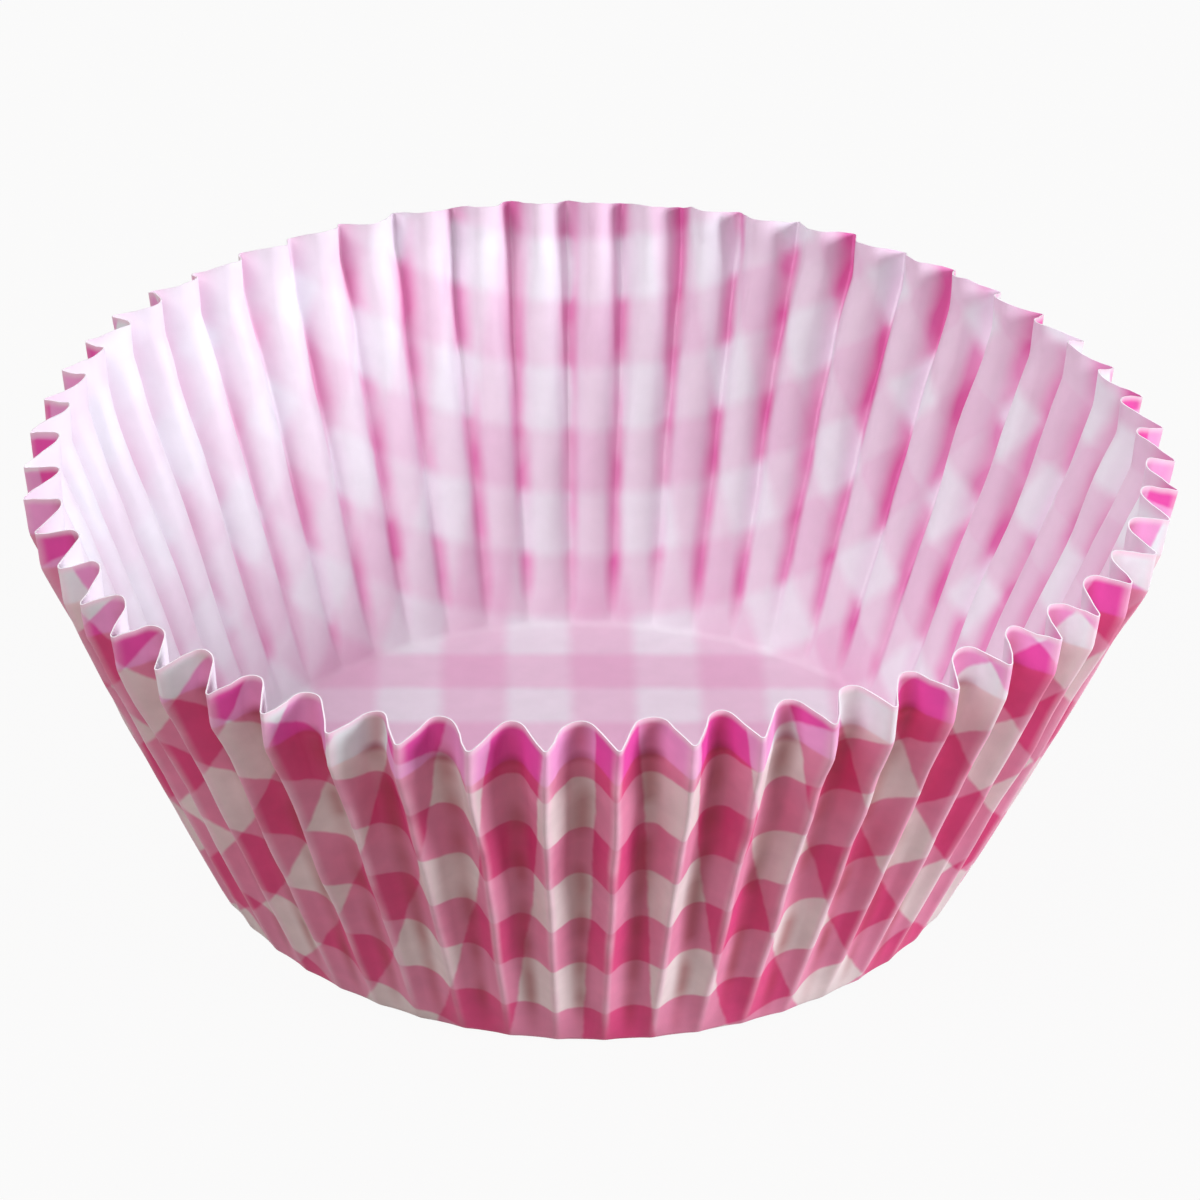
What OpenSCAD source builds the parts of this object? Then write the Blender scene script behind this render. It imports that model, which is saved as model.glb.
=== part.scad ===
// Pleated paper cupcake liner, in millimetres
// A round sheet of paper is pressed over a die. Its middle stays flat as the base, and the rest turns up
// into a flaring wall. Each ring of the sheet keeps its length while the wall is narrower than the sheet
// was, so the spare length stands in pleats, which deepen from nothing at the base to the cut edge.
// Their outer folds are sharp ridges, and their inner folds are broad, round valleys.
// A narrow band along the cut edge stood clear of the die, and it keeps more upright than the wall.

/* [Sheet] */
// Diameter of the flat base
base_d = 50; // [40:1:64]
// Length of the wall, along the sheet from the base to the cut edge
wall_len = 31.2; // [18:0.2:42]
// Thickness of the paper
paper_t = 0.08; // [0.05:0.01:0.2]

/* [Pressing] */
// Lean of the wall from upright, in degrees
wall_lean = 21; // [10:0.5:30]
// Radius of the bend where the base turns up into the wall
bend_r = 0.8; // [0.5:0.1:3]
// Number of pleats
pleats = 54; // [36:2:64]
// Width of paper that each outer fold curves over
ridge_w = 0.4; // [0.3:0.05:0.8]
// Width of paper that each inner fold curves over
valley_w = 2.2; // [0.6:0.1:2.6]

/* [Rim] */
// Width of the upright band, along the sheet down from the cut edge
rim_w = 2.6; // [1:0.2:5]
// Lean of the upright band from upright, in degrees
rim_lean = 4.5; // [0:0.5:9]

/* [Hidden] */

paper_colour = "#e79cbc";

// Widest share of half a pleat that its two half folds may take
fold_share = 0.8;
// Rings of points up the bend and up to the rim, which crowd towards the base, where the pleats open fastest
bend_steps = 2;
wall_steps = 4;
crowding = 1.6;
// An inner fold lies at the front
first_turn = -90 - 180 / pleats;

wall_turn = 90 - wall_lean;
bend_len = bend_r * wall_turn * PI / 180;
rim_start = wall_len - rim_w;

// Distances of the rings from the edge of the base, along the sheet
rings = concat(
    [for (i = [0:bend_steps]) bend_len * i / bend_steps],
    [for (i = [1:wall_steps - 1]) bend_len + (rim_start - bend_len) * pow(i / wall_steps, crowding)],
    [rim_start, wall_len]
);
top_ring = len(rings) - 1;

// Lengths of the sheet that lie in the bend, the wall and the rim, up to a distance along it
function in_bend(d) = min(d, bend_len);
function in_wall(d) = max(0, min(d, rim_start) - bend_len);
function in_rim(d) = max(0, d - rim_start);

// Line of the wall before it is pleated: its turn up from the base, radius and height at a distance along
// the sheet. The turn is the wall's own in the band too, because the pleats keep their way out there.
function turn_up(d) = in_bend(d) / bend_r * 180 / PI;
function line_r(d) =
    base_d / 2 + bend_r * sin(turn_up(d)) + in_wall(d) * sin(wall_lean) + in_rim(d) * sin(rim_lean);
function line_z(d) =
    paper_t / 2 + bend_r * (1 - cos(turn_up(d))) + in_wall(d) * cos(wall_lean) + in_rim(d) * cos(rim_lean);

// Half a pleat: its room round the cup, and its width in the flat sheet
function half_room(d) = PI * line_r(d) / pleats;
function half_width(d) = PI * (base_d / 2 + d) / pleats;

// Turn of a flank away from the line of the wall. Half a fold is a chord that turns half as far, so the
// chords and the flank fill the room and keep the sheet's length.
function flank_turn(room, flank, chords) =
    2 * acos(min(1, (sqrt(pow(chords, 2) + 8 * flank * (room + flank)) - chords) / (4 * flank)));

// One pleat from an outer fold to the next, as steps round the cup and out from the line of the wall
function pleat_section(d) =
    let (
        room = half_room(d),
        width = half_width(d),
        shrink = min(1, 2 * fold_share * width / (ridge_w + valley_w)),
        ridge = shrink * ridge_w / 2,
        valley = shrink * valley_w / 2,
        flank = width - ridge - valley,
        turn = flank_turn(room, flank, ridge + valley),
        crest = ((ridge + valley) * sin(turn / 2) + flank * sin(turn)) / 2,
        ridge_foot = [ridge * cos(turn / 2), crest - ridge * sin(turn / 2)],
        valley_foot = [valley * cos(turn / 2), valley * sin(turn / 2) - crest]
    )
    [
        [0, crest], ridge_foot,
        [room - valley_foot[0], valley_foot[1]], [room, -crest], [room + valley_foot[0], valley_foot[1]],
        [2 * room - ridge_foot[0], ridge_foot[1]]
    ];
pleat_points = len(pleat_section(0));
ring_points = pleats * pleat_points;

// Middle of the paper round one ring
function ring(d) = [
    for (k = [0:pleats - 1], step = pleat_section(d))
        let (
            turn = first_turn + k * 360 / pleats + step[0] / line_r(d) * 180 / PI,
            r = line_r(d) + step[1] * sin(turn_up(d))
        )
        [r * cos(turn), r * sin(turn), line_z(d) - step[1] * cos(turn_up(d))]
];
middle = [for (d = rings) ring(d)];

// Way out of the paper at a point, mitred between its two neighbours so that the flanks keep their thickness
function next_point(i) = (i + 1) % ring_points;
function last_point(i) = (i + ring_points - 1) % ring_points;
function unit(v) = v / norm(v);
function way_up(j, i) = middle[min(j + 1, top_ring)][i] - middle[max(j - 1, 0)][i];
function way_out(j, i) =
    let (
        before = unit(cross(middle[j][i] - middle[j][last_point(i)], way_up(j, i))),
        after = unit(cross(middle[j][next_point(i)] - middle[j][i], way_up(j, i))),
        between = unit(before + after)
    )
    j == 0 ? [0, 0, -1] : between / (between * before);

// One face of the paper: side is 1 for the printed face outside and -1 for the plain face inside
function skin(side) = [
    for (j = [0:top_ring], i = [0:ring_points - 1])
        middle[j][i] + side * paper_t / 2 * way_out(j, i)
];

module liner() {
    skin_points = (top_ring + 1) * ring_points;
    rim = top_ring * ring_points;
    outside = [
        for (j = [0:top_ring - 1], i = [0:ring_points - 1])
            let (a = j * ring_points + i, b = j * ring_points + next_point(i))
            each [[a, a + ring_points, b + ring_points], [a, b + ring_points, b]]
    ];
    inside = [for (f = outside) [f[0], f[2], f[1]] + skin_points * [1, 1, 1]];
    cut_edge = [
        for (i = [0:ring_points - 1])
            let (a = rim + i, b = rim + next_point(i))
            each [[a, a + skin_points, b + skin_points], [a, b + skin_points, b]]
    ];
    base_outside = [for (i = [0:ring_points - 1]) i];
    base_inside = [for (i = [ring_points - 1:-1:0]) skin_points + i];

    color(paper_colour)
        polyhedron(
            points = concat(skin(1), skin(-1)),
            faces = concat(outside, inside, cut_edge, [base_outside, base_inside]),
            convexity = 12
        );
}

liner();
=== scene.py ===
"""The looks of a pleated paper cupcake liner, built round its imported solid.

The liner is one round sheet of greaseproof paper, printed on one face with gingham and pressed over a
die. One pleat is worked out as a strip of the sheet, from the middle of the base to the cut edge. A tree
of geometry nodes repeats it round the cup and eases it, as springy paper does. The print is drawn in
the coordinates of the flat sheet, so that the checks follow every fold.
"""
import logging
import math
from dataclasses import dataclass
from dataclasses import field
from enum import Enum

import bpy
import numpy as np
from mathutils import Matrix
from mathutils import Vector


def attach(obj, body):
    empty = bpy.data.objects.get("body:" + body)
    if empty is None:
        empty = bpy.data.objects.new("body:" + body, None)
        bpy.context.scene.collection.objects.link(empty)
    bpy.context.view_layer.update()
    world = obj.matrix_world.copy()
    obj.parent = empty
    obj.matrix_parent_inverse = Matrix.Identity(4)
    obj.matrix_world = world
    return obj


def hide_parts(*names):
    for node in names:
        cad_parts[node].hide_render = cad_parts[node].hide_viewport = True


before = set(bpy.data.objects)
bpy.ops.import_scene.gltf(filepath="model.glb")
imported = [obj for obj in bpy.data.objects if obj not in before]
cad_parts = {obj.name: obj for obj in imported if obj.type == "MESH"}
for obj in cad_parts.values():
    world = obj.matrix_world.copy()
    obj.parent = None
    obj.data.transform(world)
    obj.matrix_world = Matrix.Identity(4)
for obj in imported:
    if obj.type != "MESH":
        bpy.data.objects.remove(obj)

MM = 0.001
NODE = "liner"
BODY = "root"
SHEET_MAP = "flat_sheet"
FOLD = "fold"
# The middle of a noise's range, and of one period of a pattern
MIDDLE = (0.5, 0.5, 0.5)

log = logging.getLogger("cupcake_liner")


def linear(hex_colour: str) -> tuple[float, float, float, float]:
    """Turns an sRGB hex colour to the linear one that a shader takes, by the sRGB standard's own curve.

    Args:
        hex_colour: Six hex digits after a hash, such as "#e79cbc".

    Returns:
        Red, green, blue and an alpha of 1.
    """
    shares = [int(hex_colour[i:i + 2], 16) / 255 for i in (1, 3, 5)]
    red, green, blue = [s / 12.92 if s <= 0.04045 else ((s + 0.055) / 1.055) ** 2.4 for s in shares]
    return red, green, blue, 1.0


def add_node(tree: bpy.types.NodeTree, kind: str, links: dict | None = None, **settings) -> bpy.types.Node:
    """Adds a node to a tree, with its settings and what its inputs take.

    Args:
        tree: The tree that the node joins.
        kind: The node's type, such as "ShaderNodeMath".
        links: What each input takes, by identifier, name or number: a socket to link from, or a value.
        **settings: The node's own properties.

    Returns:
        The new node.
    """
    node = tree.nodes.new(kind)
    for name, value in settings.items():
        setattr(node, name, value)
    by_identifier = {socket.identifier: socket for socket in node.inputs}
    for key, value in (links or {}).items():
        socket = by_identifier[key] if key in by_identifier else node.inputs[key]
        if isinstance(value, bpy.types.NodeSocket):
            tree.links.new(value, socket)
        else:
            socket.default_value = value
    return node


def seen_directly(tree: bpy.types.NodeTree) -> bpy.types.NodeSocket:
    """Adds the nodes that tell a ray from the camera from other light, also after a mirror or a glass.

    Args:
        tree: The tree of a material or of the world.

    Returns:
        A number that is 1 for such a ray and otherwise 0.
    """
    path = add_node(tree, "ShaderNodeLightPath")
    mirrored = add_node(
        tree,
        "ShaderNodeMath",
        {0: path.outputs["Is Glossy Ray"], 1: path.outputs["Is Transmission Ray"]},
        operation="MAXIMUM",
    )
    direct = add_node(
        tree,
        "ShaderNodeMath",
        {0: path.outputs["Is Camera Ray"], 1: mirrored.outputs[0]},
        operation="MAXIMUM",
    )
    return direct.outputs[0]


@dataclass(frozen=True)
class Pressing:
    """Sizes of the sheet and of the die that it is pressed over, in millimetres and degrees.

    The wall's line is added up in steps of line_step. The least values keep the sums off nought on the flat
    base, which has no folds.
    """

    base_diameter: float = 50.0
    wall_length: float = 31.2
    wall_lean: float = 21.0
    bend_radius: float = 0.8
    pleats: int = 54
    ridge_width: float = 0.4
    valley_width: float = 2.2
    rim_width: float = 2.6
    rim_lean: float = 4.5
    rim_bend: float = 0.6
    thickness: float = 0.08
    line_step: float = 0.02
    fold_share: float = 0.8
    least_length: float = 1e-6
    least_spare: float = 1e-7
    least_turn: float = 1e-4
    halvings: int = 40

    @property
    def base_radius(self) -> float:
        """Radius of the flat base."""
        return self.base_diameter / 2

    @property
    def sheet_radius(self) -> float:
        """Radius of the flat sheet before it is pressed."""
        return self.base_radius + self.wall_length

    @property
    def rim_foot(self) -> float:
        """Distance from the middle of the sheet to the foot of the upright band."""
        return self.sheet_radius - self.rim_width

    @property
    def wall_turn(self) -> float:
        """Slope of the wall, in radians from flat."""
        return math.radians(90 - self.wall_lean)

    @property
    def bend_end(self) -> float:
        """Distance from the middle of the sheet to the end of the bend at the wall's foot."""
        return self.base_radius + self.bend_radius * self.wall_turn

    @property
    def pitch(self) -> float:
        """Angle that one pleat takes, in radians."""
        return 2 * math.pi / self.pleats

    @property
    def first_turn(self) -> float:
        """Angle of the first outer fold, in radians, which puts an inner fold at the front."""
        return -math.pi / 2 - self.pitch / 2

    def line(self, at: np.ndarray) -> tuple[np.ndarray, np.ndarray, np.ndarray]:
        """Follows the wall as it would run without its pleats.

        Args:
            at: Distances from the middle of the sheet, along it.

        Returns:
            The slope in radians, the radius and the height at each distance.
        """
        rim_turn = math.radians(90 - self.rim_lean)
        rim_start = self.rim_foot - self.rim_bend / 2
        rim_end = self.rim_foot + self.rim_bend / 2
        steps = np.arange(0, self.sheet_radius + self.line_step, self.line_step)
        slopes = np.interp(
            steps,
            [self.base_radius, self.bend_end, rim_start, rim_end],
            [0, self.wall_turn, self.wall_turn, rim_turn],
        )
        middles = (slopes[1:] + slopes[:-1]) / 2
        radii = np.concatenate([[0], np.cumsum(np.cos(middles) * self.line_step)])
        heights = np.concatenate([[0], np.cumsum(np.sin(middles) * self.line_step)])
        heights += self.thickness / 2
        return np.interp(at, steps, slopes), np.interp(at, steps, radii), np.interp(at, steps, heights)

    def flank_turn(self, room: np.ndarray, flank: np.ndarray, curved: np.ndarray) -> np.ndarray:
        """Finds how far a flank turns from the wall's own line, so that half a pleat fits its room.

        Args:
            room: Half the pleat's length round the cup.
            flank: The straight part of half the pleat's width in the flat sheet.
            curved: The rest of it, which curves over the two folds.

        Returns:
            The angles in radians, by halving the range that holds each.
        """
        low = np.full_like(room, self.least_turn)
        high = np.full_like(room, math.pi / 2)
        for _ in range(self.halvings):
            middle = (low + high) / 2
            spare = curved / middle * np.sin(middle) + flank * np.cos(middle) - room
            low = np.where(spare > 0, middle, low)
            high = np.where(spare > 0, high, middle)
        return (low + high) / 2

    def half_pleat(
        self, at: np.ndarray, ridge_points: int, flank_points: int, valley_points: int
    ) -> tuple[np.ndarray, np.ndarray, np.ndarray]:
        """Follows the sheet round half a pleat, from an outer fold's ridge to an inner fold's valley.

        Args:
            at: Distances of the rings from the middle of the sheet.
            ridge_points: Steps round the half ridge.
            flank_points: Points on the flank, apart from its ends.
            valley_points: Steps round the half valley.

        Returns:
            How far each point lies round the cup and in from the ridge, and along the flat sheet, by rings.
        """
        radius = self.line(at)[1][:, None]
        room = np.maximum(np.pi * radius / self.pleats, self.least_length)
        width = np.maximum(np.pi * at[:, None] / self.pleats, room)
        shrink = np.minimum(1, 2 * self.fold_share * width / (self.ridge_width + self.valley_width))
        ridge = shrink * self.ridge_width / 2
        valley = shrink * self.valley_width / 2
        flank = width - ridge - valley
        turn = np.where(
            width - room > self.least_spare,
            self.flank_turn(room, flank, ridge + valley),
            self.least_turn,
        )
        round_ridge = np.linspace(0, 1, ridge_points + 1)
        down_flank = np.linspace(0, 1, flank_points + 2)[1:-1]
        round_valley = np.linspace(1, 0, valley_points + 1)
        foot = ridge / turn * np.sin(turn), ridge / turn * (1 - np.cos(turn))
        depth = (ridge + valley) / turn * (1 - np.cos(turn)) + flank * np.sin(turn)
        along = [
            ridge / turn * np.sin(turn * round_ridge),
            foot[0] + flank * down_flank * np.cos(turn),
            room - valley / turn * np.sin(turn * round_valley),
        ]
        inward = [
            ridge / turn * (1 - np.cos(turn * round_ridge)),
            foot[1] + flank * down_flank * np.sin(turn),
            depth - valley / turn * (1 - np.cos(turn * round_valley)),
        ]
        paper = [ridge * round_ridge, ridge + flank * down_flank, width - valley * round_valley]
        return np.hstack(along), np.hstack(inward), np.hstack(paper)


@dataclass(frozen=True)
class Wave:
    """One even wave round the cup, which sprung paper takes up: its crest in degrees from +X."""

    order: int
    height: float
    crest: float


@dataclass(frozen=True)
class Easing:
    """How the pressed cup springs away from a true round, in millimetres at the cut edge.

    It drops by drop_share of what it moves outward. The sway takes in several pleats and the ripple runs up
    single folds, each over the whole range of its noise.
    """

    outward: tuple[Wave, ...] = (Wave(3, 0.66, 0),)
    sideways: tuple[Wave, ...] = (Wave(1, 0.6, -19), Wave(2, 0.29, 45), Wave(3, 0.38, -30))
    drop_share: float = 0.35
    sway: float = 1.1
    sway_size: float = 9.0
    ripple: float = 0.72
    ripple_size: float = 2.4
    ripple_squeeze: float = 0.12
    noise_detail: float = 1.0


class Side(Enum):
    """The three materials of the sheet, in the order of its material slots."""

    PRINTED = 0
    PLAIN = 1
    CUT = 2


@dataclass(frozen=True)
class Gingham:
    """Gingham: two sets of crossing stripes, as wide as the gaps between them.

    The sheet was cut from the printed web a little askew, so the stripes stand turned in it. Their places
    are those of the middle of one stripe of each set, from the middle of the sheet. A noise moves their edges
    over a range of wobble. All sizes are in millimetres, and the turn is in degrees.
    """

    check: float = 4.58
    upright_at: float = 1.55
    level_at: float = 0.8
    turn: float = 1.9
    wobble: float = 0.32
    wobble_size: float = 1.5
    wobble_detail: float = 2.0

    def stripes(
        self, tree: bpy.types.NodeTree, sheet: bpy.types.NodeSocket, blur: float
    ) -> bpy.types.NodeSocket:
        """Adds the nodes that say how many stripes cover a point.

        Args:
            tree: The material's tree.
            sheet: Millimetres in the flat sheet, from its middle.
            blur: Width over which a stripe's edge fades, in millimetres.

        Returns:
            A number from 0, bare paper, to 1, where two stripes cross.
        """
        period = 2 * self.check
        noise = add_node(
            tree,
            "ShaderNodeTexNoise",
            {"Vector": sheet, "Scale": 1 / self.wobble_size, "Detail": self.wobble_detail},
        )
        centred = add_node(
            tree, "ShaderNodeVectorMath", {0: noise.outputs["Color"], 1: MIDDLE}, operation="SUBTRACT"
        )
        squared = add_node(
            tree,
            "ShaderNodeVectorRotate",
            {"Vector": sheet, "Angle": -math.radians(self.turn)},
            rotation_type="Z_AXIS",
        )
        wobbled = add_node(
            tree,
            "ShaderNodeVectorMath",
            {0: centred.outputs[0], 1: (self.wobble,) * 3, 2: squared.outputs[0]},
            operation="MULTIPLY_ADD",
        )
        shift = (0.5 - self.upright_at / period, 0.5 - self.level_at / period, 0)
        periods = add_node(
            tree,
            "ShaderNodeVectorMath",
            {0: wobbled.outputs[0], 1: (1 / period,) * 3, 2: shift},
            operation="MULTIPLY_ADD",
        )
        share = add_node(tree, "ShaderNodeVectorMath", {0: periods.outputs[0]}, operation="FRACTION")
        off = add_node(tree, "ShaderNodeVectorMath", {0: share.outputs[0], 1: MIDDLE}, operation="SUBTRACT")
        away = add_node(tree, "ShaderNodeVectorMath", {0: off.outputs[0]}, operation="ABSOLUTE")
        fade = blur / period / 2
        stripe_edge = 1 / 4
        cover = add_node(
            tree,
            "ShaderNodeMapRange",
            {
                "Vector": away.outputs[0],
                "From_Min_FLOAT3": (stripe_edge - fade,) * 3,
                "From_Max_FLOAT3": (stripe_edge + fade,) * 3,
                "To_Min_FLOAT3": (1, 1, 1),
                "To_Max_FLOAT3": (0, 0, 0),
            },
            data_type="FLOAT_VECTOR",
            interpolation_type="SMOOTHSTEP",
        )
        apart = add_node(tree, "ShaderNodeSeparateXYZ", {0: cover.outputs["Vector"]})
        both = add_node(
            tree, "ShaderNodeMath", {0: apart.outputs["X"], 1: apart.outputs["Y"]}, operation="ADD"
        )
        half = add_node(tree, "ShaderNodeMath", {0: both.outputs[0], 1: 0.5}, operation="MULTIPLY")
        return half.outputs[0]


@dataclass(frozen=True)
class Inks:
    """The three tones of a gingham print."""

    bare: str
    single: str
    crossed: str

    def colour(self, tree: bpy.types.NodeTree, cover: bpy.types.NodeSocket) -> bpy.types.NodeSocket:
        """Adds the nodes that colour a point by how many stripes cover it.

        Args:
            tree: The material's tree.
            cover: A number from 0, bare paper, to 1, where two stripes cross.

        Returns:
            The colour socket.
        """
        ramp = add_node(tree, "ShaderNodeValToRGB", {"Fac": cover})
        ramp.color_ramp.elements[0].color = linear(self.bare)
        ramp.color_ramp.elements[1].color = linear(self.crossed)
        ramp.color_ramp.elements.new(0.5).color = linear(self.single)
        return ramp.outputs["Color"]


@dataclass(frozen=True)
class GreaseproofPaper:
    """Greaseproof paper, beaten and calendered: smooth and faintly glossy to the eye.

    Its cockles are low swellings, 1.8 mm across, and it takes ink and light a little unevenly on them. Its
    fibres are some 0.03 mm wide, too fine to show, so they are drawn four times as coarse. The painted light
    and shade at its folds come and go in patches some 3.6 mm across. All sizes are in millimetres.
    """

    pressing: Pressing
    print_of: Gingham = Gingham()
    roughness: float = 0.52
    gloss: float = 0.35
    ior: float = 1.5
    fibre: float = 0.12
    fibre_depth: float = 0.006
    fibre_detail: float = 3.0
    fibre_tangle: float = 0.6
    cockle: float = 1.8
    cockle_depth: float = 0.022
    cockle_detail: float = 2.0
    cockle_range: tuple[float, float] = (0.3, 0.7)
    uneven: float = 0.1
    fold_start: float = 5.0
    patch: float = 3.6
    patch_detail: float = 0.0
    patch_range: tuple[float, float] = (0.36, 0.6)
    patchy: float = 0.5

    def shader(self, name: str) -> tuple[bpy.types.Material, bpy.types.NodeTree, bpy.types.Node]:
        """Starts a paper material with what all of the sheet's faces share.

        Args:
            name: The material's name.

        Returns:
            The material, its tree and its main shader, whose colour is still to be linked.
        """
        material = bpy.data.materials.new(name)
        material.use_nodes = True
        tree = material.node_tree
        tree.nodes.clear()
        main = add_node(
            tree,
            "ShaderNodeBsdfPrincipled",
            {
                "Roughness": self.roughness,
                "IOR": self.ior,
                "Specular IOR Level": self.gloss,
            },
        )
        return material, tree, main

    def sheet(self, tree: bpy.types.NodeTree) -> bpy.types.NodeSocket:
        """Adds the nodes that read a point's place in the flat sheet.

        Args:
            tree: The material's tree.

        Returns:
            The place, in millimetres from the middle of the sheet.
        """
        across = 2 * self.pressing.sheet_radius
        mapped = add_node(tree, "ShaderNodeUVMap", uv_map=SHEET_MAP)
        placed = add_node(
            tree,
            "ShaderNodeVectorMath",
            {0: mapped.outputs[0], 1: (across, across, 0), 2: (-across / 2, -across / 2, 0)},
            operation="MULTIPLY_ADD",
        )
        return placed.outputs[0]

    def outward(self, tree: bpy.types.NodeTree, sheet: bpy.types.NodeSocket) -> bpy.types.NodeSocket:
        """Adds the node that gives a point's distance from the middle of the sheet, in millimetres."""
        return add_node(tree, "ShaderNodeVectorMath", {0: sheet}, operation="LENGTH").outputs["Value"]

    def near_fold(
        self,
        tree: bpy.types.NodeTree,
        sheet: bpy.types.NodeSocket,
        start: float,
        most: float | bpy.types.NodeSocket,
        full: float = 1.0,
    ) -> bpy.types.NodeSocket:
        """Adds the nodes that tell how strongly a fold's painted light and shade lie on a point: patchily,
        and not at all on the flat base.

        Args:
            tree: The material's tree.
            sheet: Millimetres in the flat sheet.
            start: Where the number starts to rise, from -1, at an inner fold, to 1, at an outer one.
            most: The number where it has risen fully.
            full: Where that is, in the same terms as start.

        Returns:
            A number from 0 to most.
        """
        base = self.pressing.base_radius
        folded = add_node(
            tree,
            "ShaderNodeMapRange",
            {
                "Value": self.outward(tree, sheet),
                "From Min": base,
                "From Max": base + self.fold_start,
                "To Max": most,
            },
        )
        folds = add_node(tree, "ShaderNodeAttribute", attribute_name=FOLD)
        near = add_node(
            tree,
            "ShaderNodeMapRange",
            {
                "Value": folds.outputs["Fac"],
                "From Min": start,
                "From Max": full,
                "To Max": folded.outputs[0],
            },
            interpolation_type="SMOOTHSTEP",
        )
        patches = add_node(
            tree,
            "ShaderNodeTexNoise",
            {"Vector": sheet, "Scale": 1 / self.patch, "Detail": self.patch_detail},
        )
        low, high = self.patch_range
        held = add_node(
            tree,
            "ShaderNodeMapRange",
            {"Value": patches.outputs["Fac"], "From Min": low, "From Max": high, "To Min": 1 - self.patchy},
        )
        marked = add_node(
            tree, "ShaderNodeMath", {0: near.outputs[0], 1: held.outputs[0]}, operation="MULTIPLY"
        )
        return marked.outputs[0]

    def finish(
        self,
        tree: bpy.types.NodeTree,
        sheet: bpy.types.NodeSocket,
        main: bpy.types.Node,
        colour: bpy.types.NodeSocket | tuple[float, float, float, float],
    ) -> None:
        """Adds the colour, which the sheet takes a little unevenly, and the sheet's fibres and cockles.

        Args:
            tree: The material's tree.
            sheet: Millimetres in the flat sheet.
            main: The material's main shader.
            colour: The colour's socket, or one colour for the whole face.
        """
        fibres = add_node(
            tree,
            "ShaderNodeTexNoise",
            {
                "Vector": sheet,
                "Scale": 1 / self.fibre,
                "Detail": self.fibre_detail,
                "Roughness": self.fibre_tangle,
            },
        )
        cockles = add_node(
            tree,
            "ShaderNodeTexNoise",
            {"Vector": sheet, "Scale": 1 / self.cockle, "Detail": self.cockle_detail},
        )
        waved = add_node(
            tree,
            "ShaderNodeBump",
            {"Height": cockles.outputs["Fac"], "Distance": self.cockle_depth * MM},
        )
        bump = add_node(
            tree,
            "ShaderNodeBump",
            {"Height": fibres.outputs["Fac"], "Distance": self.fibre_depth * MM, "Normal": waved.outputs[0]},
        )
        tree.links.new(bump.outputs[0], main.inputs["Normal"])
        low, high = self.cockle_range
        taken = add_node(
            tree,
            "ShaderNodeMapRange",
            {"Value": cockles.outputs["Fac"], "From Min": low, "From Max": high, "To Min": 1 - self.uneven},
        )
        uneven = add_node(
            tree,
            "ShaderNodeMix",
            {"Factor_Float": 1.0, "A_Color": colour, "B_Color": taken.outputs[0]},
            data_type="RGBA",
            blend_type="MULTIPLY",
        )
        tree.links.new(uneven.outputs[2], main.inputs["Base Color"])
        add_node(tree, "ShaderNodeOutputMaterial", {"Surface": main.outputs[0]})


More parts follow.
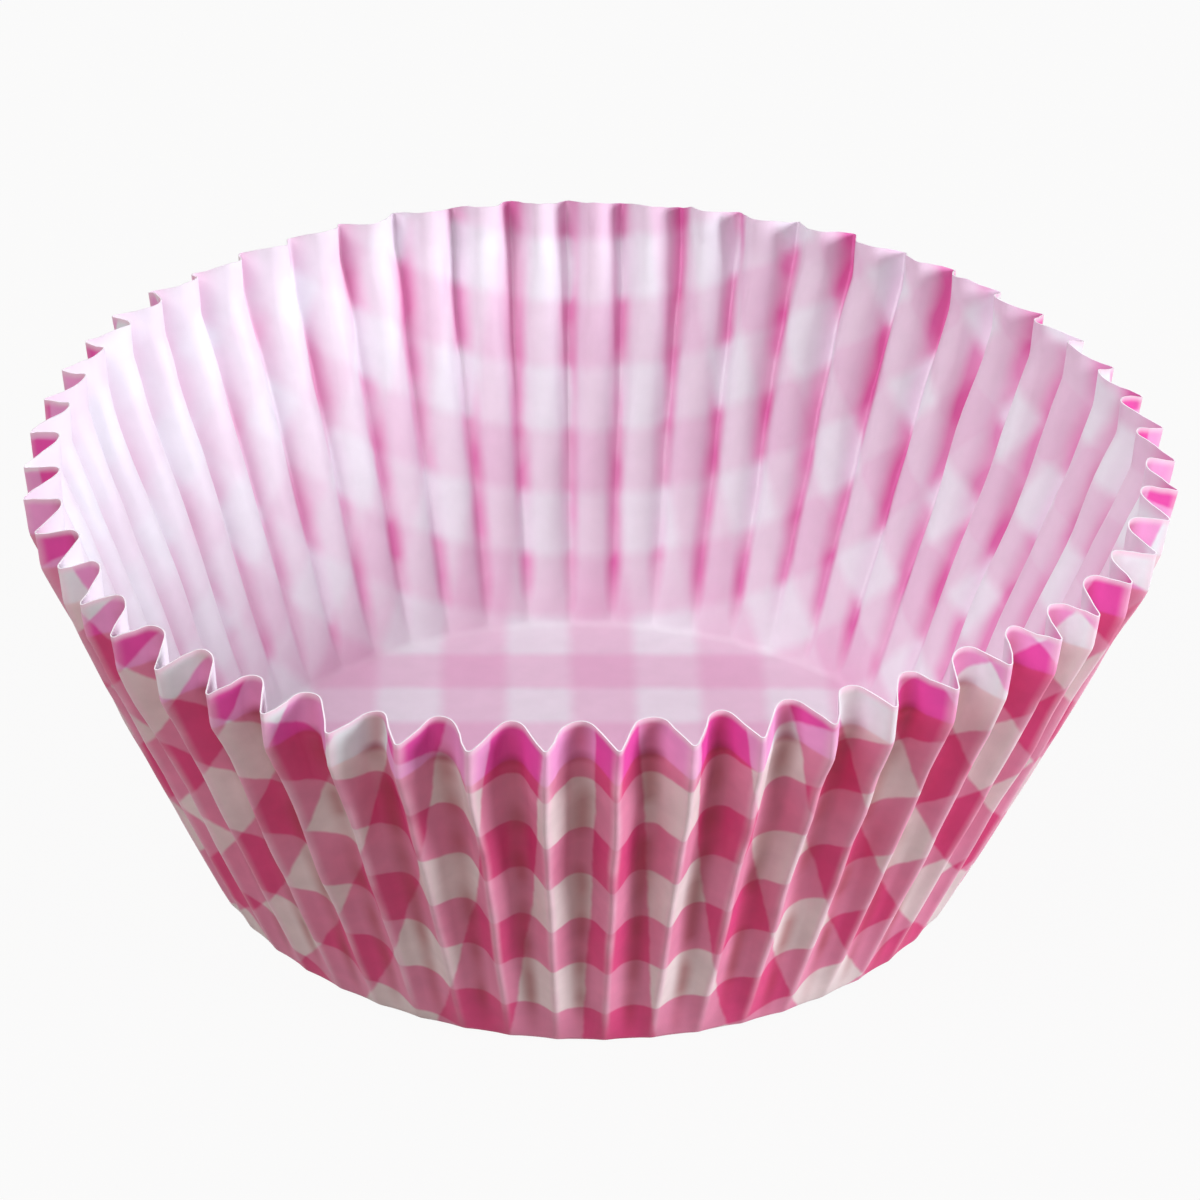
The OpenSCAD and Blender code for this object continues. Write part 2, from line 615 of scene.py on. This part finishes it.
@dataclass(frozen=True)
class PrintedFace(GreaseproofPaper):
    """Outer face: water-based ink on greaseproof paper, with painted shade on the pleated wall and painted
    light on the rim band.

    Painted highlights lighten the print to a paler pink along the ridges, painted shade darkens it in the
    valleys and at the creased foot of the upright band, and painted light pales it along the cut edge.
    """

    # The pressed inks are the print with painted shade, for the pleated wall; the lit rim inks are the same
    # print with painted light, for the upright band.
    pressed: Inks = Inks("#f4e1e0", "#ed8eb0", "#e54784")
    lit_rim_inks: Inks = Inks("#f5f8fb", "#f7a4da", "#f04fae")
    # Painted highlight: a paler pink along the ridges.
    ridge_highlight: str = "#ffcfe0"
    ridge_highlight_share: float = 0.56
    ridge_highlight_from: float = 0.52
    # Painted shade: this colour darkens the valleys.
    valley_shade: str = "#cea7a8"
    valley_shade_from: float = -0.1
    # Painted shade along the creased foot of the upright band.
    crease_shade: str = "#d29fb0"
    crease_shade_width: float = 1.4
    crease_shade_from: float = 0.0
    # Painted light: a pale pink glow along the cut edge.
    edge_glow: str = "#ffdcec"
    edge_glow_share: float = 0.8
    edge_glow_width: float = 0.55
    ink_blur: float = 0.3
    rim_blur: float = 0.3

    def build(self) -> bpy.types.Material:
        """Makes the material.

        Returns:
            The material of the paper's printed face.
        """
        material, tree, main = self.shader("greaseproof_paper_printed")
        sheet = self.sheet(tree)
        cover = self.print_of.stripes(tree, sheet, self.ink_blur)
        outward = self.outward(tree, sheet)
        foot = self.pressing.rim_foot
        # Painted light on the upright band at the rim, painted shade below it.
        on_rim = add_node(
            tree,
            "ShaderNodeMapRange",
            {
                "Value": outward,
                "From Min": foot - self.rim_blur / 2,
                "From Max": foot + self.rim_blur / 2,
            },
            interpolation_type="SMOOTHSTEP",
        )
        inked = add_node(
            tree,
            "ShaderNodeMix",
            {
                "Factor_Float": on_rim.outputs[0],
                "A_Color": self.pressed.colour(tree, cover),
                "B_Color": self.lit_rim_inks.colour(tree, cover),
            },
            data_type="RGBA",
        )
        # Painted shade in the valleys.
        in_valley = self.near_fold(tree, sheet, self.valley_shade_from, 1.0, -1.0)
        valley_shade = add_node(
            tree,
            "ShaderNodeMix",
            {"Factor_Float": in_valley, "A_Color": inked.outputs[2], "B_Color": linear(self.valley_shade)},
            data_type="RGBA",
            blend_type="MULTIPLY",
        )
        # Painted shade at the creased foot of the upright band, in the valleys.
        crease_shaded = add_node(
            tree,
            "ShaderNodeMix",
            {
                "Factor_Float": self.on_crease_shade(tree, sheet, outward),
                "A_Color": valley_shade.outputs[2],
                "B_Color": linear(self.crease_shade),
            },
            data_type="RGBA",
            blend_type="MULTIPLY",
        )
        # Painted highlight along the ridges.
        on_ridge = self.near_fold(tree, sheet, self.ridge_highlight_from, self.ridge_highlight_share)
        highlighted = add_node(
            tree,
            "ShaderNodeMix",
            {"Factor_Float": on_ridge, "A_Color": crease_shaded.outputs[2], "B_Color": linear(self.ridge_highlight)},
            data_type="RGBA",
        )
        # Painted light along the cut edge.
        reach = self.pressing.sheet_radius
        by_edge = add_node(
            tree,
            "ShaderNodeMapRange",
            {
                "Value": outward,
                "From Min": reach - self.edge_glow_width,
                "From Max": reach,
                "To Max": self.edge_glow_share,
            },
            interpolation_type="SMOOTHSTEP",
        )
        edge_glow = add_node(
            tree,
            "ShaderNodeMix",
            {
                "Factor_Float": by_edge.outputs[0],
                "A_Color": highlighted.outputs[2],
                "B_Color": linear(self.edge_glow),
            },
            data_type="RGBA",
        )
        self.finish(tree, sheet, main, edge_glow.outputs[2])
        return material

    def on_crease_shade(
        self, tree: bpy.types.NodeTree, sheet: bpy.types.NodeSocket, outward: bpy.types.NodeSocket
    ) -> bpy.types.NodeSocket:
        """Adds the nodes that find the painted shade at the upright band's foot, where it crosses an inner
        fold.

        Args:
            tree: The material's tree.
            sheet: Millimetres in the flat sheet.
            outward: Distance from the middle of the sheet, in millimetres.

        Returns:
            A number from 0 to 1, on the painted shade.
        """
        in_valley = self.near_fold(tree, sheet, self.crease_shade_from, 1.0, -1.0)
        foot = self.pressing.rim_foot
        away = add_node(tree, "ShaderNodeMath", {0: outward, 1: foot}, operation="SUBTRACT")
        apart = add_node(tree, "ShaderNodeMath", {0: away.outputs[0]}, operation="ABSOLUTE")
        crease_shade = add_node(
            tree,
            "ShaderNodeMapRange",
            {
                "Value": apart.outputs[0],
                "From Min": self.crease_shade_width / 2,
                "From Max": 0.0,
                "To Max": in_valley,
            },
            interpolation_type="SMOOTHSTEP",
        )
        return crease_shade.outputs[0]


@dataclass(frozen=True)
class PlainFace(GreaseproofPaper):
    """Inner face: bare greaseproof paper, through which the print shows as a pale blur.

    The flat base takes part of the recess tint, as painted shade. As painted light, the print shows less at
    the left of the sheet and more at its right, from light_tint_from to light_tint_reach millimetres from the
    middle.
    """

    uneven: float = 0.04
    shown: Inks = Inks("#f2f1f6", "#f0e0ec", "#edcee2")
    # Recess tint: partly the print showing through both flanks, partly painted shade and pink light in the
    # recesses.
    recess_shade_tint: Inks = Inks("#f2e2f0", "#eb9cca", "#e474b4")
    recess_shade_from: float = -0.3
    ink_blur: float = 1.25
    # Painted light: the show-through fades towards the left, where the window lights the inner face, and
    # deepens towards the right, where its light comes through the wall.
    light_tint_left: float = 0.3
    light_tint_right: float = 1.65
    light_tint_from: float = 7.0
    light_tint_reach: float = 46.0
    # The flat base takes this share of the recess tint, as painted shade.
    base_tint_share: float = 0.24

    def build(self) -> bpy.types.Material:
        """Makes the material.

        Returns:
            The material of the paper's plain face.
        """
        material, tree, main = self.shader("greaseproof_paper_plain")
        sheet = self.sheet(tree)
        place = add_node(tree, "ShaderNodeSeparateXYZ", {0: sheet})
        # Painted light: less show-through at the left of the sheet, more at its right.
        light_tint: bpy.types.NodeSocket | float = 1.0
        for side, share in ((-1, self.light_tint_left), (1, self.light_tint_right)):
            level = add_node(
                tree,
                "ShaderNodeMapRange",
                {
                    "Value": place.outputs["X"],
                    "From Min": side * self.light_tint_from,
                    "From Max": side * self.light_tint_reach,
                    "To Min": light_tint,
                    "To Max": share,
                },
                interpolation_type="SMOOTHSTEP",
            )
            light_tint = level.outputs[0]
        cover = self.print_of.stripes(tree, sheet, self.ink_blur)
        faded = add_node(tree, "ShaderNodeMath", {0: cover, 1: light_tint}, operation="MULTIPLY")
        # Painted shade and pink light in the recesses and on the flat base.
        recess_shade = self.near_fold(tree, sheet, self.recess_shade_from, light_tint)
        base = self.pressing.base_radius
        on_base = add_node(
            tree,
            "ShaderNodeMapRange",
            {
                "Value": self.outward(tree, sheet),
                "From Min": base,
                "From Max": base + self.fold_start,
                "To Min": self.base_tint_share,
                "To Max": 0.0,
            },
        )
        stronger = add_node(
            tree, "ShaderNodeMath", {0: recess_shade, 1: on_base.outputs[0]}, operation="MAXIMUM"
        )
        tinted = add_node(
            tree,
            "ShaderNodeMix",
            {
                "Factor_Float": stronger.outputs[0],
                "A_Color": self.shown.colour(tree, faded.outputs[0]),
                "B_Color": self.recess_shade_tint.colour(tree, cover),
            },
            data_type="RGBA",
        )
        self.finish(tree, sheet, main, tinted.outputs[2])
        return material


@dataclass(frozen=True)
class CutEdge(GreaseproofPaper):
    """Die-cut edge of the paper: bare white fibre, which draws a fine pale line round the teeth."""

    fibre_white: str = "#fbf4fa"

    def build(self) -> bpy.types.Material:
        """Makes the material.

        Returns:
            The material of the paper's cut edge.
        """
        material, tree, main = self.shader("greaseproof_paper_cut_edge")
        self.finish(tree, self.sheet(tree), main, linear(self.fibre_white))
        return material


@dataclass
class PleatTree:
    """The geometry nodes that repeat one pleat round the cup and then ease the whole cup.

    Points of neighbouring pleats that lie within merge_gap, in millimetres, are merged.
    """

    easing: Easing
    merge_gap: float = 0.002
    inputs: dict[str, str] = field(default_factory=dict)

    def build(self) -> bpy.types.NodeTree:
        """Makes the tree.

        Returns:
            The tree, whose named inputs are listed by their identifiers in inputs.
        """
        tree = bpy.data.node_groups.new("pleats_round_the_cup", "GeometryNodeTree")
        sockets = tree.interface
        sockets.new_socket("Geometry", in_out="INPUT", socket_type="NodeSocketGeometry")
        wanted = {
            "Pleats": "NodeSocketInt",
            "First turn": "NodeSocketFloat",
            "Base radius": "NodeSocketFloat",
            "Sheet radius": "NodeSocketFloat",
            "Seed": "NodeSocketFloat",
            "Paper": "NodeSocketMaterial",
        }
        for name, kind in wanted.items():
            self.inputs[name] = sockets.new_socket(name, in_out="INPUT", socket_type=kind).identifier
        sockets.new_socket("Geometry", in_out="OUTPUT", socket_type="NodeSocketGeometry")
        given = add_node(tree, "NodeGroupInput")
        repeated = self.repeat(tree, given)
        eased = self.ease(tree, given, repeated)
        smooth = add_node(tree, "GeometryNodeSetShadeSmooth", {"Geometry": eased})
        dressed = add_node(
            tree,
            "GeometryNodeSetMaterial",
            {"Geometry": smooth.outputs[0], "Material": given.outputs["Paper"]},
        )
        add_node(tree, "NodeGroupOutput", {"Geometry": dressed.outputs[0]})
        return tree

    def repeat(self, tree: bpy.types.NodeTree, given: bpy.types.Node) -> bpy.types.NodeSocket:
        """Adds the nodes that set the pleats side by side and lay the sheet out flat in a UV map.

        Args:
            tree: The tree.
            given: Its input node.

        Returns:
            The joined sheet.
        """
        number = add_node(tree, "GeometryNodeInputIndex")
        pitch = add_node(
            tree, "ShaderNodeMath", {0: 2 * math.pi, 1: given.outputs["Pleats"]}, operation="DIVIDE"
        )
        turn = add_node(
            tree,
            "ShaderNodeMath",
            {0: number.outputs[0], 1: pitch.outputs[0], 2: given.outputs["First turn"]},
            operation="MULTIPLY_ADD",
        )
        stands = add_node(tree, "GeometryNodePoints", {"Count": given.outputs["Pleats"]})
        marked = add_node(
            tree,
            "GeometryNodeStoreNamedAttribute",
            {"Geometry": stands.outputs[0], "Name": "pleat_turn", "Value": turn.outputs[0]},
            data_type="FLOAT",
            domain="POINT",
        )
        upright = add_node(tree, "ShaderNodeCombineXYZ", {"Z": turn.outputs[0]})
        placed = add_node(
            tree,
            "GeometryNodeInstanceOnPoints",
            {
                "Points": marked.outputs[0],
                "Instance": given.outputs["Geometry"],
                "Rotation": upright.outputs[0],
            },
        )
        real = add_node(tree, "GeometryNodeRealizeInstances", {"Geometry": placed.outputs[0]})
        flat = self.lay_flat(tree, given)
        mapped = add_node(
            tree,
            "GeometryNodeStoreNamedAttribute",
            {"Geometry": real.outputs[0], "Name": SHEET_MAP, "Value": flat},
            data_type="FLOAT2",
            domain="CORNER",
        )
        joined = add_node(
            tree,
            "GeometryNodeMergeByDistance",
            {"Geometry": mapped.outputs[0], "Distance": self.merge_gap * MM},
        )
        return joined.outputs[0]

    def lay_flat(self, tree: bpy.types.NodeTree, given: bpy.types.Node) -> bpy.types.NodeSocket:
        """Adds the nodes that lay the sheet out flat, so that it just fills the UV square.

        Args:
            tree: The tree.
            given: Its input node.

        Returns:
            A point's place in the UV square.
        """
        own_turn, pleat_turn, reach = (
            add_node(tree, "GeometryNodeInputNamedAttribute", {"Name": name}, data_type="FLOAT")
            for name in ("sheet_turn", "pleat_turn", "sheet_radius")
        )
        turn = add_node(
            tree, "ShaderNodeMath", {0: own_turn.outputs[0], 1: pleat_turn.outputs[0]}, operation="ADD"
        )
        across = add_node(tree, "ShaderNodeMath", {0: turn.outputs[0]}, operation="COSINE")
        along = add_node(tree, "ShaderNodeMath", {0: turn.outputs[0]}, operation="SINE")
        way = add_node(tree, "ShaderNodeCombineXYZ", {"X": across.outputs[0], "Y": along.outputs[0]})
        share = add_node(
            tree,
            "ShaderNodeMath",
            {0: reach.outputs[0], 1: given.outputs["Sheet radius"]},
            operation="DIVIDE",
        )
        half = add_node(tree, "ShaderNodeMath", {0: share.outputs[0], 1: 0.5}, operation="MULTIPLY")
        out = add_node(
            tree, "ShaderNodeVectorMath", {0: way.outputs[0], "Scale": half.outputs[0]}, operation="SCALE"
        )
        placed = add_node(
            tree, "ShaderNodeVectorMath", {0: out.outputs[0], 1: (0.5, 0.5, 0)}, operation="ADD"
        )
        return placed.outputs[0]

    def waves(
        self, tree: bpy.types.NodeTree, angle: bpy.types.NodeSocket, waves: tuple[Wave, ...]
    ) -> bpy.types.NodeSocket:
        """Adds the nodes that sum some waves round the cup.

        Args:
            tree: The tree.
            angle: The angle round the cup, in radians.
            waves: The waves, whose heights are in millimetres.

        Returns:
            The sum, in metres.
        """
        total: bpy.types.NodeSocket | float = 0.0
        for wave in waves:
            turned = add_node(
                tree,
                "ShaderNodeMath",
                {0: angle, 1: float(wave.order), 2: -wave.order * math.radians(wave.crest)},
                operation="MULTIPLY_ADD",
            )
            level = add_node(tree, "ShaderNodeMath", {0: turned.outputs[0]}, operation="COSINE")
            summed = add_node(
                tree,
                "ShaderNodeMath",
                {0: level.outputs[0], 1: wave.height * MM, 2: total},
                operation="MULTIPLY_ADD",
            )
            total = summed.outputs[0]
        return total

    def ease(
        self, tree: bpy.types.NodeTree, given: bpy.types.Node, sheet: bpy.types.NodeSocket
    ) -> bpy.types.NodeSocket:
        """Adds the nodes that move the wall, not at all at the base and most at the cut edge.

        Args:
            tree: The tree.
            given: Its input node.
            sheet: The joined sheet.

        Returns:
            The eased sheet.
        """
        place = add_node(tree, "GeometryNodeInputPosition")
        apart = add_node(tree, "ShaderNodeSeparateXYZ", {0: place.outputs[0]})
        angle = add_node(
            tree, "ShaderNodeMath", {0: apart.outputs["Y"], 1: apart.outputs["X"]}, operation="ARCTAN2"
        )
        across = add_node(tree, "ShaderNodeMath", {0: angle.outputs[0]}, operation="COSINE")
        along = add_node(tree, "ShaderNodeMath", {0: angle.outputs[0]}, operation="SINE")
        back = add_node(tree, "ShaderNodeMath", {0: along.outputs[0], 1: -1.0}, operation="MULTIPLY")
        outward = add_node(
            tree,
            "ShaderNodeCombineXYZ",
            {"X": across.outputs[0], "Y": along.outputs[0], "Z": -self.easing.drop_share},
        )
        sideways = add_node(tree, "ShaderNodeCombineXYZ", {"X": back.outputs[0], "Y": across.outputs[0]})
        out_move = add_node(
            tree,
            "ShaderNodeVectorMath",
            {0: outward.outputs[0], "Scale": self.waves(tree, angle.outputs[0], self.easing.outward)},
            operation="SCALE",
        )
        side_move = add_node(
            tree,
            "ShaderNodeVectorMath",
            {0: sideways.outputs[0], "Scale": self.waves(tree, angle.outputs[0], self.easing.sideways)},
            operation="SCALE",
        )
        moved = add_node(
            tree, "ShaderNodeVectorMath", {0: out_move.outputs[0], 1: side_move.outputs[0]}, operation="ADD"
        )
        moves = (
            (self.easing.sway_size, self.easing.sway, place.outputs[0]),
            (self.easing.ripple_size, self.easing.ripple, self.squeezed_place(tree)),
        )
        total = moved.outputs[0]
        for size, height, vector in moves:
            noise = add_node(
                tree,
                "ShaderNodeTexNoise",
                {
                    "Vector": vector,
                    "W": given.outputs["Seed"],
                    "Scale": 1 / (size * MM),
                    "Detail": self.easing.noise_detail,
                },
                noise_dimensions="4D",
            )
            centred = add_node(
                tree,
                "ShaderNodeVectorMath",
                {0: noise.outputs["Color"], 1: MIDDLE},
                operation="SUBTRACT",
            )
            summed = add_node(
                tree,
                "ShaderNodeVectorMath",
                {0: centred.outputs[0], 1: (height * MM,) * 3, 2: total},
                operation="MULTIPLY_ADD",
            )
            total = summed.outputs[0]
        reach = add_node(tree, "GeometryNodeInputNamedAttribute", {"Name": "sheet_radius"}, data_type="FLOAT")
        risen = add_node(
            tree,
            "ShaderNodeMapRange",
            {
                "Value": reach.outputs[0],
                "From Min": given.outputs["Base radius"],
                "From Max": given.outputs["Sheet radius"],
            },
        )
        offset = add_node(
            tree, "ShaderNodeVectorMath", {0: total, "Scale": risen.outputs[0]}, operation="SCALE"
        )
        eased = add_node(tree, "GeometryNodeSetPosition", {"Geometry": sheet, "Offset": offset.outputs[0]})
        return eased.outputs[0]

    def squeezed_place(self, tree: bpy.types.NodeTree) -> bpy.types.NodeSocket:
        """Adds the nodes that squeeze a place along the cup's axis, so that ripples run up the folds.

        Args:
            tree: The tree.

        Returns:
            The squeezed place.
        """
        place = add_node(tree, "GeometryNodeInputPosition")
        squeezed = add_node(
            tree,
            "ShaderNodeVectorMath",
            {0: place.outputs[0], 1: (1, 1, self.easing.ripple_squeeze)},
            operation="MULTIPLY",
        )
        return squeezed.outputs[0]


@dataclass
class PaperCup:
    """The liner itself: one sheet, pleated all round, with its two faces and its cut edge."""

    pressing: Pressing = field(default_factory=Pressing)
    easing: Easing = Easing()
    seed: float = 3.0
    base_rings: int = 6
    bend_rings: int = 5
    wall_rings: int = 20
    rim_rings: int = 7
    ridge_points: int = 2
    flank_points: int = 2
    valley_points: int = 5
    sharp_from: float = 60.0

    def ring_places(self) -> np.ndarray:
        """Spaces the rings of points out from the middle of the sheet to its cut edge.

        Returns:
            Their distances from the middle, in millimetres.
        """
        size = self.pressing
        band_foot = size.rim_foot - size.rim_bend
        stops = [0, size.base_radius, size.bend_end, band_foot, size.sheet_radius]
        counts = [self.base_rings, self.bend_rings, self.wall_rings, self.rim_rings]
        spans = [
            np.linspace(start, end, count, endpoint=False)
            for start, end, count in zip(stops, stops[1:], counts)
        ]
        return np.concatenate([*spans, [size.sheet_radius]])

    def strip(self) -> bpy.types.Object:
        """Makes one pleat as a strip of the sheet, from the middle of the base to the cut edge.

        Returns:
            An object whose points know their place in the flat sheet and how near a fold they are.
        """
        size = self.pressing
        at = self.ring_places()
        slope, radius, height = size.line(at)
        along, inward, paper = size.half_pleat(at, self.ridge_points, self.flank_points, self.valley_points)
        out = inward[:, -1:] / 2 - inward
        fold = 1 - 2 * paper / paper[:, -1:]
        along, paper = (np.hstack([half, 2 * half[:, -1:] - half[:, -2::-1]]) for half in (along, paper))
        out, fold = (np.hstack([half, half[:, -2::-1]]) for half in (out, fold))
        angle = along / np.maximum(radius, size.least_length)[:, None]
        sheet_turn = paper / np.maximum(at, size.least_length)[:, None]
        angle[0] = angle[1]
        sheet_turn[0] = sheet_turn[1]
        tilt = np.minimum(slope, size.wall_turn)[:, None]
        away = radius[:, None] + out * np.sin(tilt)
        up = height[:, None] - out * np.cos(tilt)
        points = np.stack([away * np.cos(angle), away * np.sin(angle), up], -1).reshape(-1, 3) * MM
        rows, columns = angle.shape
        corner = (np.arange(rows - 1)[:, None] * columns + np.arange(columns - 1)[None, :]).reshape(-1)
        quads = np.stack([corner, corner + 1, corner + columns + 1, corner + columns], 1)
        mesh = bpy.data.meshes.new("one_pleat")
        mesh.from_pydata(points.tolist(), [], quads.tolist())
        known = {
            "sheet_radius": np.repeat(at * MM, columns),
            "sheet_turn": sheet_turn.reshape(-1),
            FOLD: fold.reshape(-1),
        }
        for name, values in known.items():
            mesh.attributes.new(name, "FLOAT", "POINT").data.foreach_set("value", values.astype(np.float32))
        mesh.update()
        made = bpy.data.objects.new("one_pleat", mesh)
        bpy.context.scene.collection.objects.link(made)
        return made

    def build(self) -> bpy.types.Object:
        """Makes the liner and dresses it.

        Returns:
            The finished piece, as a plain mesh at the origin.
        """
        size = self.pressing
        materials = {
            Side.PRINTED: PrintedFace(size).build(),
            Side.PLAIN: PlainFace(size).build(),
            Side.CUT: CutEdge(size).build(),
        }
        made = self.strip()
        pleats = PleatTree(self.easing)
        modifier = made.modifiers.new("pleats_round_the_cup", "NODES")
        modifier.node_group = pleats.build()
        values = {
            "Pleats": size.pleats,
            "First turn": size.first_turn,
            "Base radius": size.base_radius * MM,
            "Sheet radius": size.sheet_radius * MM,
            "Seed": self.seed,
            "Paper": materials[Side.PRINTED],
        }
        for name, value in values.items():
            modifier[pleats.inputs[name]] = value
        bpy.context.view_layer.update()
        sheet = bpy.data.meshes.new_from_object(made.evaluated_get(bpy.context.evaluated_depsgraph_get()))
        bpy.data.objects.remove(made)
        sheet.materials.clear()
        for side in Side:
            sheet.materials.append(materials[side])
        piece = bpy.data.objects.new("paper_cup", sheet)
        bpy.context.scene.collection.objects.link(piece)
        thick = piece.modifiers.new("paper_thickness", "SOLIDIFY")
        thick.thickness = size.thickness * MM
        thick.offset = 0
        thick.use_even_offset = True
        thick.material_offset = Side.PLAIN.value
        thick.material_offset_rim = Side.CUT.value
        bpy.context.view_layer.update()
        shell = bpy.data.meshes.new_from_object(piece.evaluated_get(bpy.context.evaluated_depsgraph_get()))
        piece.modifiers.clear()
        piece.data = shell
        shell.set_sharp_from_angle(angle=math.radians(self.sharp_from))
        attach(piece, BODY)
        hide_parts(NODE)
        return piece


@dataclass(frozen=True)
class Lamp:
    """One square lamp that faces the liner's base: its place and width in metres, and its power in watts."""

    name: str
    place: tuple[float, float, float]
    width: float
    power: float
    colour: str

    def hang(self) -> None:
        """Adds the lamp to the scene."""
        data = bpy.data.lights.new(self.name, "AREA")
        data.shape = "SQUARE"
        data.size = self.width
        data.energy = self.power
        data.color = linear(self.colour)[:3]
        lamp = bpy.data.objects.new(self.name, data)
        lamp.location = self.place
        lamp.rotation_euler = (-Vector(self.place)).to_track_quat("-Z", "Y").to_euler()
        bpy.context.scene.collection.objects.link(lamp)


@dataclass
class Studio:
    """A pale table under plain soft light, and a camera where the photograph was taken from.

    The window is low to the right, the fill is larger and high in front to the left, and a weak lamp stands
    behind. The floor's sizes and nearest, where the camera's view starts, are in metres.
    """

    lamps: tuple[Lamp, ...] = (
        Lamp("window", (0.69, -0.27, 0.22), 0.3, 5.35, "#f5f8ff"),
        Lamp("fill", (-0.36, -0.45, 0.72), 0.5, 4.9, "#fffafd"),
        Lamp("far_wall", (-0.2, 0.66, 0.5), 0.5, 1.6, "#ffffff"),
    )
    room_light: float = 0.24
    floor_width: float = 6.0
    floor_gap: float = 0.00005
    floor_colour: str = "#9a938e"
    floor_roughness: float = 0.9
    floor_gloss: float = 0.1
    floor_glow: float = 0.94
    aim_height: float = 15.0
    distance: float = 300.0
    azimuth: float = 0.25
    elevation: float = 30.8
    roll: float = 0.92
    pixels_per_mm: float = 15.15
    photo_pixels: float = 1200.0
    centre_in_photo: tuple[float, float] = (589.2, 628.8)
    sensor: float = 36.0
    nearest: float = 0.01

    def build(self) -> None:
        """Sets the table, the lights, the world and the camera."""
        self.build_floor()
        for lamp in self.lamps:
            lamp.hang()
        self.build_world()
        self.build_camera()

    def build_floor(self) -> None:
        """Lays the table's top under the liner: matt white laminate, even and almost without gloss.

        The camera sees it mostly as a plain white glow, which keeps a little of the liner's shadow.
        """
        half = self.floor_width / 2
        mesh = bpy.data.meshes.new("table_top")
        corners = [(-half, -half), (half, -half), (half, half), (-half, half)]
        mesh.from_pydata([(x, y, -self.floor_gap) for x, y in corners], [], [(0, 1, 2, 3)])
        floor = bpy.data.objects.new("table_top", mesh)
        bpy.context.scene.collection.objects.link(floor)
        material = bpy.data.materials.new("matt_white_laminate")
        material.use_nodes = True
        tree = material.node_tree
        tree.nodes.clear()
        matt = add_node(
            tree,
            "ShaderNodeBsdfPrincipled",
            {
                "Base Color": linear(self.floor_colour),
                "Roughness": self.floor_roughness,
                "Specular IOR Level": self.floor_gloss,
            },
        )
        glow = add_node(tree, "ShaderNodeEmission", {"Color": (1, 1, 1, 1), "Strength": 1.0})
        share = add_node(
            tree, "ShaderNodeMath", {0: seen_directly(tree), 1: self.floor_glow}, operation="MULTIPLY"
        )
        lit = add_node(
            tree, "ShaderNodeMixShader", {0: share.outputs[0], 1: matt.outputs[0], 2: glow.outputs[0]}
        )
        add_node(tree, "ShaderNodeOutputMaterial", {"Surface": lit.outputs[0]})
        mesh.materials.append(material)

    def build_world(self) -> None:
        """Surrounds the table with an even pale light."""
        world = bpy.data.worlds.new("pale_room")
        world.use_nodes = True
        tree = world.node_tree
        tree.nodes.clear()
        even = add_node(
            tree, "ShaderNodeBackground", {"Color": (1, 1, 1, 1), "Strength": self.room_light}
        )
        seen = add_node(tree, "ShaderNodeBackground", {"Color": (1, 1, 1, 1), "Strength": 1.0})
        mix = add_node(
            tree, "ShaderNodeMixShader", {0: seen_directly(tree), 1: even.outputs[0], 2: seen.outputs[0]}
        )
        add_node(tree, "ShaderNodeOutputWorld", {"Surface": mix.outputs[0]})
        bpy.context.scene.world = world

    def build_camera(self) -> None:
        """Places the camera, with its line of sight beside the liner's middle as in the photograph."""
        turn = math.radians(self.azimuth)
        rise = math.radians(self.elevation)
        tilt = math.radians(self.roll)
        back = Vector((math.sin(turn) * math.cos(rise), -math.cos(turn) * math.cos(rise), math.sin(rise)))
        level = Vector((math.cos(turn), math.sin(turn), 0))
        upright = back.cross(level)
        right = level * math.cos(tilt) + upright * math.sin(tilt)
        up = upright * math.cos(tilt) - level * math.sin(tilt)
        middle = Vector((0, 0, self.aim_height * MM))
        place = middle + back * self.distance * MM
        beside = (self.photo_pixels / 2 - self.centre_in_photo[0]) / self.pixels_per_mm * MM
        above = (self.centre_in_photo[1] - self.photo_pixels / 2) / self.pixels_per_mm * MM
        sight = (place - (middle + right * beside + up * above)).normalized()
        across = up.cross(sight).normalized()
        data = bpy.data.cameras.new("photo_camera")
        data.sensor_width = self.sensor
        data.lens = self.sensor * self.pixels_per_mm * self.distance / self.photo_pixels
        data.clip_start = self.nearest
        camera = bpy.data.objects.new("photo_camera", data)
        turned = Matrix((across, sight.cross(across), sight)).transposed().to_4x4()
        camera.matrix_world = Matrix.Translation(place) @ turned
        bpy.context.scene.collection.objects.link(camera)
        bpy.context.scene.camera = camera


def main() -> None:
    """Builds the studio and the liner in order, and reports each piece."""
    logging.basicConfig(level=logging.INFO, format="%(message)s")
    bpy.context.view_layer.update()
    bpy.context.scene.view_settings.view_transform = "Standard"
    Studio().build()
    log.info("studio: table, lamps and camera")
    piece = PaperCup().build()
    log.info("%s: %d faces", piece.name, len(piece.data.polygons))
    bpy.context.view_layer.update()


if __name__ == "__main__":
    main()
